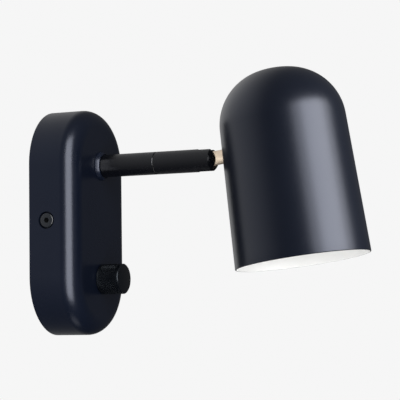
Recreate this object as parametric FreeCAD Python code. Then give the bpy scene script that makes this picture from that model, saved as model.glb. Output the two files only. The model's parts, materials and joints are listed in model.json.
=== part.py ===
"""Bedside wall reading lamp: oblong wall cover with a dimmer, swivelling arm and tilting dome shade.

Millimetres.  Z is up, the wall is the plane Y = 0 and the lamp stands out towards -Y.
The origin is the middle of the bracket's back, on the wall.
"""
import FreeCAD, Part
import math
import os

V = FreeCAD.Vector
X_AXIS = V(1, 0, 0)
Y_AXIS = V(0, 1, 0)
Z_AXIS = V(0, 0, 1)

# ---------------------------------------------------------------- driving sizes
# cover
cover_width = 76.0
cover_height = 150.0
cover_depth = 33.5
cover_wall = 1.6
cover_round = 11.0          # round between the front and the sides

# where the arm and the knob stand on the cover's front
arm_above_middle = 37.2
knob_below_middle = 38.2

# clearances
fit = 0.05                  # on the radius, between pieces that are screwed or pressed together
running = 0.06              # on the radius, between a journal and its bore
seam_gap = 0.3              # between bodies that move against each other

# wall bracket
bracket_sheet = 2.0
bracket_width = 36.0
bracket_height = 126.0
bracket_arm_height = 16.0
ear_depth = 21.0
wall_hole_spacing = 96.0
wall_slot_radius = 2.5
wall_slot_length = 12.0
inlet_above_middle = 24.0
inlet_radius = 7.0

# side screws
side_screw_out = 12.6       # from the wall
side_head_radius = 4.75
side_head_height = 2.6
side_shank_radius = 2.5
side_shank_length = 9.0
side_hex_radius = 1.73      # to the corners of a 3 mm key
side_recess_radius = 5.7
side_recess_depth = 2.9
press_nut_radius = 4.5
press_nut_thick = 3.0

# arm
arm_radius = 7.5
arm_bore = 3.6
collar_radius = 9.4
collar_thick = 2.8
collar_round = 1.1
seam_from_wall = 74.6
nipple_radius = 5.0
nipple_bore = 3.5
nipple_grip = 11.0          # screwed into the arm
backing_radius = 18.0
backing_thick = 2.0
toothed_washer_radius = 9.0
toothed_washer_thick = 0.9
nipple_nut_flats = 14.0
nipple_nut_thick = 3.5
nipple_tail = 3.0           # beyond the nut

# swivel between the arm and the fork
spindle_grip = 12.0
spindle_journal_radius = 4.6
spindle_journal_length = 12.0
spindle_bore = 2.6
swivel_groove_width = 3.4
swivel_groove_depth = 1.2
swivel_washer_thick = 0.4
swivel_washer_inset = 0.5
swivel_grub_radius = 1.5
swivel_grub_back = 8.0      # from the seam

# fork and tilt pivot
pivot_from_wall = 109.6
nose_radius = 8.8           # ball nose round the pivot
slot_width = 6.0
slot_root = 5.2             # from the pivot
pivot_radius = 2.0
pivot_head_radius = 3.5
pivot_head_height = 2.1
pivot_hex_radius = 1.44     # to the corners of a 2.5 mm key
pivot_blind_wall = 1.2
pivot_head_out = 6.5        # outer face of the head, from the middle of the slot

# tongue
tongue_radius = 4.65
tongue_thick = 4.8
tongue_chamber_thick = 3.2
tongue_chamber_half = 3.7
tongue_flat_reach = 9.2     # where the round stem begins, from the pivot
stem_bore = 1.7
stud_radius = 4.0
tilt_washer_radius = 4.4

# shade, in its own upright place before it is tilted
shade_from_pivot = 56.4     # from the pivot to the shade's centre line
shade_rim_radius = 43.25
shade_taper = 2.87          # of the radius, from the rim to where the cone ends
shade_straight = 89.5       # height of the cone
shoulder_offset = 5.0       # of the shoulder arc's centre from the shade's centre line
crown_round = 58.9          # flatter arc over the top
shade_wall = 1.0
stem_below_crown = 48.8
rest_tilt = 7.8             # degrees, the opening turned away from the wall
lip_round = 0.45

# what the stud carries inside the shade
saddle_radius = 8.0
saddle_thick = 2.2          # at its middle
holder_sheet = 1.2
holder_width = 13.0
holder_rise = 20.0          # of the shelf over the stem
holder_reach = 10.0         # of the shelf past the shade's centre line
stud_nut_flats = 13.0
stud_nut_thick = 4.0
stud_tail = 1.2

# lampholder and lamp
holder_body_radius = 10.0
holder_flange_radius = 13.5
holder_flange_thick = 3.0
holder_body_height = 20.0
holder_pin_hole_radius = 1.3
holder_pin_spacing = 9.0
holder_pin_depth = 12.0
holder_screw_spacing = 19.0
m3_radius = 1.5
m3_head_radius = 2.75
m3_head_height = 1.8
lamp_base_radius = 8.2
lamp_base_height = 12.0
lamp_glass_radius = 8.0
lamp_length = 48.0
lamp_pin_radius = 0.6
lamp_pin_length = 8.0

# dimmer and knob
knob_radius = 10.0
knob_front_from_wall = 49.9
knob_gap = 0.9              # between the knob and the cover
knob_chamfer = 0.5
knob_recess_radius = 7.2
knob_recess_depth = 5.4
knob_flutes = 36
knob_flute_depth = 0.45
knob_front_band = 0.9       # plain band before the front
knob_shaft_stop = 2.2       # solid front of the knob
dimmer_side = 26.0
dimmer_depth = 15.0
dimmer_corner = 2.0
bush_radius = 4.0
bush_length = 5.6           # beyond the housing
dimmer_nut_flats = 11.0
dimmer_nut_thick = 2.0
dimmer_washer_radius = 6.0
dimmer_washer_thick = 0.6
shaft_radius = 3.0
shaft_flat = 1.0
shaft_inside = 8.0
knob_grub_radius = 1.5

# terminal block
block_lug = 6.6             # of the base beyond the poles, at each end
block_lug_inset = 3.6       # of the fixing screws, from the block's ends
block_height = 18.0
block_depth = 14.0
block_below_middle = 4.0
block_poles = 3
pole_pitch = 9.6
block_wire_radius = 1.6
block_screw_radius = 1.7
block_screw_well = 2.1
block_screw_length = 5.0
block_screw_spread = 9.0    # between the two screws of a pole
earth_screw_out = 12.5      # sideways from the middle
earth_screw_below = 18.5

# leads
core_radius = 1.05
core_bend = 3.0
core_pair_half = 1.2        # half the distance between the two cores in the arm
core_grip = 6.0             # of a core inside the terminal block
loop_depth = 18.0           # of the earth lead's loop under the block
fine_core_radius = 0.65
fine_core_bend = 2.0
fine_pair_half = 0.8        # half the distance between the two fine cores in the stem
fine_core_play = 0.25       # between a fine core and the pivot
fine_start = 3.0            # behind the pivot
fine_turn = 3.8             # past the pivot, where a core turns towards the stem
fine_stem = 7.6             # past the pivot, where a core is in line with the stem
fine_exit = 4.0             # beyond the stud, before a core turns aside
fine_beside = 3.0           # of a core from the holder's strip
fine_rise_out = 20.4        # from the shade's centre line, where a core climbs
fine_top_out = 12.4         # from the shade's centre line, where a core is over the shelf
fine_over_shelf = 5.0
fine_loop_top = 7.0         # over the shelf
earth_tag_width = 5.6
earth_tag_thick = 0.8
earth_barrel_radius = 1.9
earth_barrel_length = 4.0
earth_tag_reach = 3.6       # from the screw to the barrel

# ---------------------------------------------------------------- sizes that follow
cover_front = -cover_depth
cover_inside = -(cover_depth - cover_wall)
cover_half = cover_width / 2
arm_start = cover_front - collar_thick
seam = -seam_from_wall
fork_back = seam - swivel_washer_thick
pivot = V(0, -pivot_from_wall, arm_above_middle)
knob_z = -knob_below_middle
nut_round = 2 / math.sqrt(3)        # corner radius over half the width across flats


# ---------------------------------------------------------------- plain shapes
def rod(radius, start, end, x=0.0, z=0.0):
    """Round bar along Y, from start to end."""
    low = min(start, end)
    return Part.makeCylinder(radius, abs(end - start), V(x, low, z), Y_AXIS)


def rod_x(radius, start, end, y, z):
    """Round bar along X."""
    low = min(start, end)
    return Part.makeCylinder(radius, abs(end - start), V(low, y, z), X_AXIS)


def rod_z(radius, start, end, x, y):
    """Round bar along Z."""
    low = min(start, end)
    return Part.makeCylinder(radius, abs(end - start), V(x, y, low), Z_AXIS)


def ring(outer, inner, start, end, x=0.0, z=0.0):
    """Tube or washer along Y."""
    return rod(outer, start, end, x, z).cut(rod(inner, start, end, x, z))


def block(x, y, z):
    """Box between pairs of limits."""
    return Part.makeBox(x[1] - x[0], y[1] - y[0], z[1] - z[0], V(x[0], y[0], z[0]))


def hexagon(corner_radius, start, end, x=0.0, z=0.0):
    """Hexagonal bar along Y."""
    corners = []
    for side in range(6):
        angle = math.radians(60 * side + 30)
        corners.append(V(x + corner_radius * math.cos(angle), start, z + corner_radius * math.sin(angle)))
    face = Part.Face(Part.makePolygon(corners + corners[:1]))
    return face.extrude(V(0, end - start, 0))


def turned_about(shape, axis, degrees, centre):
    """Copy of a shape turned about an axis through a point."""
    copy = shape.copy()
    copy.rotate(centre, axis, degrees)
    return copy


def obround(width, height, depth, out=0.0):
    """Oblong with full round ends, standing out from the plane Y = out."""
    radius = width / 2
    run = height / 2 - radius
    left = V(-radius, out, run)
    right = V(radius, out, run)
    low_right = V(radius, out, -run)
    low_left = V(-radius, out, -run)
    edges = [
        Part.Arc(left, V(0, out, run + radius), right).toShape(),
        Part.LineSegment(right, low_right).toShape(),
        Part.Arc(low_right, V(0, out, -run - radius), low_left).toShape(),
        Part.LineSegment(low_left, left).toShape(),
    ]
    return Part.Face(Part.Wire(edges)).extrude(V(0, -depth, 0))


def edges_at(shape, test):
    """Edges whose every end and middle passes a test on the point."""
    found = []
    for edge in shape.Edges:
        middle = edge.valueAt((edge.FirstParameter + edge.LastParameter) / 2)
        points = [vertex.Point for vertex in edge.Vertexes] + [middle]
        if all(test(point) for point in points):
            found.append(edge)
    return found


def near(value, target):
    return abs(value - target) < 1e-4


def lead(points, radius, bend):
    """Insulated core along straight runs joined by tangent arcs of one bend radius."""
    edges = []
    start = points[0]
    for before, corner, after in zip(points, points[1:], points[2:]):
        inward = (before - corner).normalize()
        outward = (after - corner).normalize()
        half = inward.getAngle(outward) / 2
        back = bend / math.tan(half)
        first = corner + inward * back
        last = corner + outward * back
        middle_way = (inward + outward).normalize()
        centre = corner + middle_way * (bend / math.sin(half))
        top = centre - middle_way * bend
        edges.append(Part.LineSegment(start, first).toShape())
        edges.append(Part.Arc(first, top, last).toShape())
        start = last
    edges.append(Part.LineSegment(start, points[-1]).toShape())
    path = Part.Wire(edges)
    way = (points[1] - points[0]).normalize()
    section = Part.Wire(Part.Circle(points[0], way, radius).toShape())
    return path.makePipeShell([section], True, False)


# ---------------------------------------------------------------- wall bracket
def wall_bracket():
    plate = obround(bracket_width, bracket_height, bracket_sheet)
    ear_out = cover_half - side_recess_depth - cover_wall
    half_arm = bracket_arm_height / 2
    arms = block((-ear_out, ear_out), (-bracket_sheet, 0), (-half_arm, half_arm))
    body = plate.fuse(arms)
    for side in (-1, 1):
        outer = side * ear_out
        inner = side * (ear_out - bracket_sheet)
        ear = block(sorted((inner, outer)), (-ear_depth, 0), (-half_arm, half_arm))
        corners = edges_at(ear, lambda point: near(point.y, -ear_depth) and near(abs(point.z), half_arm))
        body = body.fuse(ear.makeFillet(3.0, corners))
        body = body.cut(rod_x(side_shank_radius + fit, inner, outer, -side_screw_out, 0))
    for end in (-1, 1):
        body = body.cut(wall_slot(end * wall_hole_spacing / 2))
    body = body.cut(rod(inlet_radius, -bracket_sheet, 0, 0, inlet_above_middle))
    for x in lug_xs():
        body = body.cut(rod(m3_radius + fit, -bracket_sheet, 0, x, -block_below_middle))
    body = body.cut(rod(m3_radius + fit, -bracket_sheet, 0, earth_screw_out, -earth_screw_below))
    return body.removeSplitter()


def wall_slot(height):
    """Upright slot for a wall screw."""
    run = wall_slot_length / 2 - wall_slot_radius
    slot = block((-wall_slot_radius, wall_slot_radius), (-bracket_sheet, 0), (height - run, height + run))
    for end in (-run, run):
        slot = slot.fuse(rod(wall_slot_radius, -bracket_sheet, 0, 0, height + end))
    return slot


def press_nuts():
    """Nuts pressed into the bracket's ears for the side screws."""
    inner = cover_half - side_recess_depth - cover_wall - bracket_sheet
    nuts = []
    for side in (-1, 1):
        start = side * inner
        end = side * (inner - press_nut_thick)
        nut = rod_x(press_nut_radius, start, end, -side_screw_out, 0)
        nuts.append(nut.cut(rod_x(side_shank_radius + fit, start, end, -side_screw_out, 0)))
    return nuts


def cable_grommet():
    """Soft ring in the bracket's cable hole, a flange in front and a neck through the sheet."""
    neck = inlet_radius - 0.1
    flange = rod(neck + 2.0, -bracket_sheet - 2.0, -bracket_sheet, 0, inlet_above_middle)
    flange = flange.makeFillet(0.8, edges_at(flange, lambda point: near(point.y, -bracket_sheet - 2.0)))
    collar = rod(neck, -bracket_sheet, 0, 0, inlet_above_middle)
    return flange.fuse(collar).cut(rod(neck - 2.4, -bracket_sheet - 2.0, 0, 0, inlet_above_middle))


# ---------------------------------------------------------------- cover
def cover():
    outer = obround(cover_width, cover_height, cover_depth)
    outer = outer.makeFillet(cover_round, edges_at(outer, lambda point: near(point.y, cover_front)))
    inner = obround(cover_width - 2 * cover_wall, cover_height - 2 * cover_wall, cover_depth - cover_wall)
    inner = inner.makeFillet(cover_round - cover_wall, edges_at(inner, lambda point: near(point.y, cover_inside)))
    shell = outer.cut(inner)
    for side in (-1, 1):
        shell = shell.fuse(side_cup(side))
        outside = side * cover_half
        floor = side * (cover_half - side_recess_depth)
        back = side * (cover_half - side_recess_depth - cover_wall)
        shell = shell.cut(rod_x(side_recess_radius, outside, floor, -side_screw_out, 0))
        shell = shell.cut(rod_x(side_shank_radius + 2 * fit, floor, back, -side_screw_out, 0))
    shell = shell.cut(rod(nipple_radius + fit, cover_front, cover_inside, 0, arm_above_middle))
    shell = shell.cut(rod(bush_radius + fit, cover_front, cover_inside, 0, knob_z))
    return shell.removeSplitter()


def side_cup(side):
    """Cup drawn inwards round a side screw's head."""
    back = side * (cover_half - side_recess_depth - cover_wall)
    start = side * (cover_half - cover_wall / 2)
    return rod_x(side_recess_radius + cover_wall, start, back, -side_screw_out, 0)


def cover_screws():
    """Button-head screws with a hexagon socket, one in each side."""
    screws = []
    for side in (-1, 1):
        seat = cover_half - side_recess_depth
        head = button_head(side_head_radius, side_head_height, side_hex_radius)
        shank = rod(side_shank_radius, 0, side_shank_length)
        screw = head.fuse(shank)
        screw = turned_about(screw, Z_AXIS, side * 90, V(0, 0, 0))
        screw.translate(V(side * seat, -side_screw_out, 0))
        screws.append(screw)
    return screws


def button_head(radius, height, hex_radius):
    """Low domed head standing out towards -Y from the plane Y = 0, with its socket."""
    edge = height * 0.25
    rim = V(radius, -edge, 0)
    flat = radius * 0.45
    top = V(flat, -height, 0)
    bulge = V(radius * 0.8, -height * 0.83, 0)
    wire = Part.Wire([
        Part.LineSegment(V(0, 0, 0), V(radius, 0, 0)).toShape(),
        Part.LineSegment(V(radius, 0, 0), rim).toShape(),
        Part.Arc(rim, bulge, top).toShape(),
        Part.LineSegment(top, V(0, -height, 0)).toShape(),
        Part.LineSegment(V(0, -height, 0), V(0, 0, 0)).toShape(),
    ])
    head = Part.Face(wire).revolve(V(0, 0, 0), Y_AXIS, 360)
    return head.cut(hexagon(hex_radius, -height, -height * 0.35))


# ---------------------------------------------------------------- arm
def arm_backing_plate():
    return ring(backing_radius, nipple_radius + fit, cover_inside, cover_inside + backing_thick, 0, arm_above_middle)


def nipple_washer():
    start = cover_inside + backing_thick
    return ring(toothed_washer_radius, nipple_radius + fit, start, start + toothed_washer_thick, 0, arm_above_middle)


def nipple_nut():
    start = cover_inside + backing_thick + toothed_washer_thick
    nut = hexagon(nipple_nut_flats / 2 * nut_round, start, start + nipple_nut_thick, 0, arm_above_middle)
    return nut.cut(rod(nipple_radius + fit, start, start + nipple_nut_thick, 0, arm_above_middle))


def arm_nipple():
    """Hollow threaded pipe that clamps the arm to the cover."""
    tail = cover_inside + backing_thick + toothed_washer_thick + nipple_nut_thick + nipple_tail
    return ring(nipple_radius, nipple_bore, arm_start - nipple_grip, tail, 0, arm_above_middle)


def arm_collar():
    collar = ring(collar_radius, nipple_radius + fit, arm_start, cover_front, 0, arm_above_middle)
    return collar.makeFillet(collar_round, edges_at(collar, lambda point: outer_front(point, collar_radius)))


def outer_front(point, radius):
    """True on the outer edge of the collar's front face."""
    distance = math.hypot(point.x, point.z - arm_above_middle)
    return near(point.y, arm_start) and near(distance, radius)


def arm_tube():
    tube = ring(arm_radius, arm_bore, seam, arm_start, 0, arm_above_middle)
    tube = tube.cut(rod(nipple_radius + fit, arm_start, arm_start - nipple_grip - 1.0, 0, arm_above_middle))
    tube = tube.cut(rod(nipple_radius + fit, seam, seam + spindle_grip + 1.0, 0, arm_above_middle))
    ends = edges_at(tube, lambda point: near(point.y, seam) and on_arm_outside(point))
    return tube.makeChamfer(0.25, ends)


def on_arm_outside(point):
    return near(math.hypot(point.x, point.z - arm_above_middle), arm_radius)


def swivel_spindle():
    """Hollow pin, screwed into the arm, with a smooth journal that the fork turns on."""
    grip = rod(nipple_radius, seam + spindle_grip, seam, 0, arm_above_middle)
    journal_end = seam - spindle_journal_length
    journal = rod(spindle_journal_radius, seam, journal_end, 0, arm_above_middle)
    middle = fork_back - swivel_grub_back
    half = swivel_groove_width / 2
    groove_radius = spindle_journal_radius - swivel_groove_depth
    groove = ring(spindle_journal_radius + 1, groove_radius, middle - half, middle + half, 0, arm_above_middle)
    spindle = grip.fuse(journal).cut(groove)
    return spindle.cut(rod(spindle_bore, seam + spindle_grip, journal_end, 0, arm_above_middle))


def swivel_washer():
    outer = arm_radius - swivel_washer_inset
    return ring(outer, spindle_journal_radius + running, fork_back + seam_gap / 3, seam, 0, arm_above_middle)


# ---------------------------------------------------------------- fork
def swivel_fork():
    """Front half of the arm, with a ball nose and an upright slot for the tongue."""
    reach = math.sqrt(nose_radius ** 2 - arm_radius ** 2)
    back = V(0, fork_back, 0)
    back_edge = V(arm_radius, fork_back, 0)
    nose_start = V(arm_radius, pivot.y - reach, 0)
    nose_tip = V(0, pivot.y - nose_radius, 0)
    half_angle = math.atan2(reach, arm_radius) / 2 + math.pi / 4
    nose_middle = V(nose_radius * math.cos(half_angle), pivot.y - nose_radius * math.sin(half_angle), 0)
    profile = Part.Wire([
        Part.LineSegment(back, back_edge).toShape(),
        Part.LineSegment(back_edge, nose_start).toShape(),
        Part.Arc(nose_start, nose_middle, nose_tip).toShape(),
        Part.LineSegment(nose_tip, back).toShape(),
    ])
    body = Part.Face(profile).revolve(V(0, 0, 0), Y_AXIS, 360)
    body.translate(V(0, 0, arm_above_middle))
    body = body.makeChamfer(0.25, edges_at(body, lambda point: near(point.y, fork_back) and on_arm_outside(point)))
    half_slot = slot_width / 2
    slot_y = (pivot.y - nose_radius - 1, pivot.y + slot_root)
    tall = (arm_above_middle - arm_radius - 1, arm_above_middle + arm_radius + 1)
    body = body.cut(block((-half_slot, half_slot), slot_y, tall))
    journal_end = seam - spindle_journal_length - seam_gap
    body = body.cut(rod(spindle_journal_radius + running, fork_back, journal_end, 0, arm_above_middle))
    body = body.cut(rod(spindle_bore, journal_end, slot_y[1], 0, arm_above_middle))
    body = body.cut(rod_z(swivel_grub_radius + fit, arm_above_middle - arm_radius, arm_above_middle, 0,
                          fork_back - swivel_grub_back))
    head_seat = pivot_head_out - pivot_head_height
    body = body.cut(rod_x(pivot_radius + fit, half_slot, head_seat, pivot.y, pivot.z))
    body = body.cut(rod_x(pivot_head_radius + 2 * fit, head_seat, arm_radius, pivot.y, pivot.z))
    blind = -(arm_radius - pivot_blind_wall)
    return body.cut(rod_x(pivot_radius + fit, blind, -half_slot, pivot.y, pivot.z))


def swivel_grub_screw():
    """Headless screw whose nose runs in the spindle's groove."""
    y = fork_back - swivel_grub_back
    tip = arm_above_middle - spindle_journal_radius + swivel_groove_depth - 2 * running
    outside = arm_above_middle - arm_radius + 0.4
    screw = rod_z(swivel_grub_radius, outside, tip, 0, y)
    key = hexagon(0.86, 0, 1.4)
    key = turned_about(key, X_AXIS, 90, V(0, 0, 0))
    key.translate(V(0, y, outside))
    return screw.cut(key)


def pivot_screw():
    """Shoulder screw from the far side, into a blind thread in the near tine."""
    tip = -(arm_radius - pivot_blind_wall - 0.3)
    seat = pivot_head_out - pivot_head_height
    screw = rod_x(pivot_radius, tip, seat, pivot.y, pivot.z)
    screw = screw.fuse(rod_x(pivot_head_radius, seat, pivot_head_out, pivot.y, pivot.z))
    key = hexagon(pivot_hex_radius, 0, 1.3)
    key = turned_about(key, Z_AXIS, 90, V(0, 0, 0))
    key.translate(V(pivot_head_out, pivot.y, pivot.z))
    return screw.cut(key)


def tilt_washers():
    """Thin friction washers on both sides of the tongue."""
    half_slot = slot_width / 2
    thick = (slot_width - tongue_thick) / 2 - 2 * fit
    washers = []
    for side in (-1, 1):
        faces = (side * half_slot, side * (half_slot - thick))
        washer = rod_x(tilt_washer_radius, *faces, pivot.y, pivot.z)
        washers.append(washer.cut(rod_x(pivot_radius + running, *faces, pivot.y, pivot.z)))
    return washers


# ---------------------------------------------------------------- head: tongue and shade
def at_rest_tilt(shape):
    """Turn a piece of the head from upright to the rest tilt."""
    return turned_about(shape, X_AXIS, -rest_tilt, pivot)


shade_y = pivot.y - shade_from_pivot
cone_slope = math.atan2(shade_taper, shade_straight)
shade_shoulder_radius = shade_rim_radius - shade_taper
shoulder_round = (shade_shoulder_radius - shoulder_offset) / math.cos(cone_slope)
shoulder_centre_z = shade_straight - shoulder_round * math.sin(cone_slope)
crown_below_shoulder = math.sqrt((crown_round - shoulder_round) ** 2 - shoulder_offset ** 2)
crown_z = shoulder_centre_z - crown_below_shoulder + crown_round     # over the rim
stem_above_rim = crown_z - stem_below_crown
rim_z = pivot.z - stem_above_rim


def shade_outline(inset):
    """Solid inside the shade's outer surface, or inside that surface moved in by inset."""
    lean = V(math.cos(cone_slope), 0, math.sin(cone_slope))
    rim = V(shade_rim_radius, 0, 0)
    shoulder = V(shade_shoulder_radius, 0, shade_straight)
    shoulder_centre = V(shoulder_offset, 0, shoulder_centre_z)
    crown_centre = V(0, 0, crown_z - crown_round)
    joint_way = (shoulder_centre - crown_centre).normalize()
    joint = crown_centre + joint_way * (crown_round - inset)
    crown = V(0, 0, crown_z - inset)
    rim_in = rim - lean * inset
    shoulder_in = shoulder - lean * inset
    half_way = (lean + joint_way).normalize()
    shoulder_mid = shoulder_centre + half_way * (shoulder_round - inset)
    crown_half = (joint_way + Z_AXIS).normalize()
    crown_mid = crown_centre + crown_half * (crown_round - inset)
    foot = rim_in - (shoulder_in - rim_in).normalize() * (2.0 if inset else 0.0)
    wire = Part.Wire([
        Part.LineSegment(V(0, 0, foot.z), foot).toShape(),
        Part.LineSegment(foot, shoulder_in).toShape(),
        Part.Arc(shoulder_in, shoulder_mid, joint).toShape(),
        Part.Arc(joint, crown_mid, crown).toShape(),
        Part.LineSegment(crown, V(0, 0, foot.z)).toShape(),
    ])
    solid = Part.Face(wire).revolve(V(0, 0, 0), Z_AXIS, 360)
    solid.translate(V(0, shade_y, rim_z))
    return solid


def shade():
    shell = shade_outline(0.0).cut(shade_outline(shade_wall))
    rim_edges = edges_at(shell, lambda point: near(point.z, rim_z))
    shell = shell.makeFillet(lip_round, rim_edges)
    hole = rod(stud_radius + fit, pivot.y, shade_y, 0, pivot.z)
    return at_rest_tilt(shell.cut(hole))


def wall_outside():
    """Distance from the pivot to the shade's outer wall along the stem."""
    slope = math.tan(cone_slope)
    return shade_from_pivot - (shade_rim_radius - stem_above_rim * slope)


def stem_bore_length():
    return wall_outside() + shade_wall + saddle_thick + holder_sheet + stud_nut_thick + stud_tail


def tilt_tongue():
    """Brass knuckle: a hollow eye on the pivot, a round stem and a threaded stud."""
    half = tongue_thick / 2
    eye = rod_x(tongue_radius, -half, half, pivot.y, pivot.z)
    flat_y = (pivot.y - tongue_flat_reach, pivot.y)
    flat_z = (pivot.z - tongue_radius, pivot.z + tongue_radius)
    body = eye.fuse(block((-half, half), flat_y, flat_z))
    stem = rod(tongue_radius, pivot.y - tongue_flat_reach, pivot.y - wall_outside() - 1, 0, pivot.z)
    body = body.common(rod(tongue_radius, pivot.y + tongue_radius, flat_y[0], 0, pivot.z)
                       .fuse(eye)).fuse(stem).cut(shade_outline(0.0))
    body = body.fuse(rod(stud_radius, pivot.y - tongue_flat_reach, pivot.y - stem_bore_length(), 0, pivot.z))
    chamber_x = (-tongue_chamber_thick / 2, tongue_chamber_thick / 2)
    chamber_z = (pivot.z - tongue_chamber_half, pivot.z + tongue_chamber_half)
    chamber_y = (pivot.y - tongue_flat_reach + 1.2, pivot.y + tongue_radius + 1)
    body = body.cut(block(chamber_x, chamber_y, chamber_z))
    body = body.cut(rod(stem_bore, chamber_y[0] + 1, pivot.y - stem_bore_length(), 0, pivot.z))
    body = body.cut(rod_x(pivot_radius + running, -half, half, pivot.y, pivot.z))
    return at_rest_tilt(body.removeSplitter())


def inner_wall():
    """Y of the shade's inner wall at the stem, before the tilt."""
    return pivot.y - wall_outside() - shade_wall


def shade_saddle():
    """Shaped washer: curved to the shade's inner wall outside, flat inside."""
    flat = inner_wall() - saddle_thick
    disc = rod(saddle_radius, flat, inner_wall() + 3, 0, pivot.z)
    disc = disc.common(shade_outline(shade_wall))
    return at_rest_tilt(disc.cut(rod(stud_radius + fit, flat, inner_wall() + 3, 0, pivot.z)))


def holder_bracket():
    """Strip bent to an L: up the wall from the stud, then a shelf over the lampholder."""
    back = inner_wall() - saddle_thick
    front = back - holder_sheet
    half = holder_width / 2
    shelf_top = pivot.z + holder_rise
    leg = block((-half, half), (front, back), (pivot.z, shelf_top))
    foot = rod(half, front, back, 0, pivot.z)
    shelf_end = shade_y - holder_reach
    shelf = block((-half, half), (shelf_end, back), (shelf_top - holder_sheet, shelf_top))
    rounded = edges_at(shelf, lambda point: near(point.y, shelf_end) and near(abs(point.x), half))
    shelf = shelf.makeFillet(4.0, rounded)
    body = leg.fuse(foot).fuse(shelf).removeSplitter()
    bend = edges_at(body, lambda point: near(point.y, back) and near(point.z, shelf_top))
    body = body.makeFillet(holder_sheet, bend)
    body = body.cut(rod(stud_radius + fit, front, back, 0, pivot.z))
    for end in (-1, 1):
        centre = shade_y + end * holder_screw_spacing / 2
        body = body.cut(rod_z(m3_radius + fit, shelf_top - holder_sheet, shelf_top, 0, centre))
    body = body.cut(rod_z(2.4, shelf_top - holder_sheet, shelf_top, 0, shade_y))
    return at_rest_tilt(body)


def shade_nut():
    start = inner_wall() - saddle_thick - holder_sheet
    corner = stud_nut_flats / 2 * nut_round
    nut = hexagon(corner, start, start - stud_nut_thick, 0, pivot.z)
    return at_rest_tilt(nut.cut(rod(stud_radius + fit, start, start - stud_nut_thick, 0, pivot.z)))


def lampholder():
    """Ceramic two-pin holder with a flange under the shelf."""
    top = pivot.z + holder_rise - holder_sheet
    flange = rod_z(holder_flange_radius, top - holder_flange_thick, top, 0, shade_y)
    flat = holder_width / 2 + 2.5
    limits = (shade_y - holder_flange_radius, shade_y + holder_flange_radius)
    flange = flange.common(block((-flat, flat), limits, (top - holder_flange_thick, top)))
    body = rod_z(holder_body_radius, top - holder_body_height, top, 0, shade_y)
    lower = edges_at(body, lambda point: near(point.z, top - holder_body_height))
    body = body.makeFillet(1.2, lower).fuse(flange)
    for side in (-1, 1):
        pin_x = side * holder_pin_spacing / 2
        face = top - holder_body_height
        body = body.cut(rod_z(holder_pin_hole_radius, face, face + holder_pin_depth, pin_x, shade_y))
        screw_y = shade_y + side * holder_screw_spacing / 2
        body = body.cut(rod_z(m3_radius + fit, top - holder_body_height, top, 0, screw_y))
        body = body.cut(rod_z(m3_head_radius + 0.2, top - holder_body_height, top - holder_flange_thick, 0, screw_y))
    return at_rest_tilt(body.removeSplitter())


def holder_screws():
    """Pan-head screws from below, through the flange and into the shelf."""
    top = pivot.z + holder_rise - holder_sheet
    seat = top - holder_flange_thick
    screws = []
    for side in (-1, 1):
        y = shade_y + side * holder_screw_spacing / 2
        shank = rod_z(m3_radius, seat, top + holder_sheet + 1.5, 0, y)
        head = rod_z(m3_head_radius, seat - m3_head_height, seat, 0, y)
        screws.append(at_rest_tilt(shank.fuse(head)))
    return screws


def lamp():
    """Two-pin capsule lamp: base, pins and a round-ended cover."""
    top = pivot.z + holder_rise - holder_sheet - holder_body_height
    base = rod_z(lamp_base_radius, top - lamp_base_height, top, 0, shade_y)
    glass = rod_z(lamp_glass_radius, top - lamp_length, top - lamp_base_height, 0, shade_y)
    low = edges_at(glass, lambda point: near(point.z, top - lamp_length))
    body = base.fuse(glass.makeFillet(lamp_glass_radius * 0.6, low))
    for side in (-1, 1):
        body = body.fuse(rod_z(lamp_pin_radius, top, top + lamp_pin_length, side * holder_pin_spacing / 2, shade_y))
    return at_rest_tilt(body)


# ---------------------------------------------------------------- dimmer and knob
def dimmer_housing():
    """Square dimmer with a threaded bush through the cover."""
    half = dimmer_side / 2
    low, high = cover_inside, cover_inside + dimmer_depth
    body = block((-half, half), (low, high), (knob_z - half, knob_z + half))
    upright = edges_at(body, lambda point: near(abs(point.x), half) and near(abs(point.z - knob_z), half))
    body = body.makeFillet(dimmer_corner, upright)
    body = body.fuse(rod(bush_radius, low, low - bush_length, 0, knob_z))
    return body.cut(rod(shaft_radius + running, low - bush_length, low + shaft_inside, 0, knob_z))


def dimmer_washer():
    end = cover_front - dimmer_washer_thick
    return ring(dimmer_washer_radius, bush_radius + fit, end, cover_front, 0, knob_z)


def dimmer_nut():
    start = cover_front - dimmer_washer_thick
    nut = hexagon(dimmer_nut_flats / 2 * nut_round, start, start - dimmer_nut_thick, 0, knob_z)
    return nut.cut(rod(bush_radius + fit, start, start - dimmer_nut_thick, 0, knob_z))


def dimmer_shaft():
    """Round shaft with a flat on the part inside the knob."""
    front = -(knob_front_from_wall - knob_shaft_stop)
    shaft = rod(shaft_radius, cover_inside + shaft_inside - seam_gap, front, 0, knob_z)
    flat_start = cover_inside - bush_length - seam_gap
    flat = block((-shaft_radius, shaft_radius), (front, flat_start),
                 (knob_z + shaft_radius - shaft_flat, knob_z + shaft_radius))
    return shaft.cut(flat)


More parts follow.
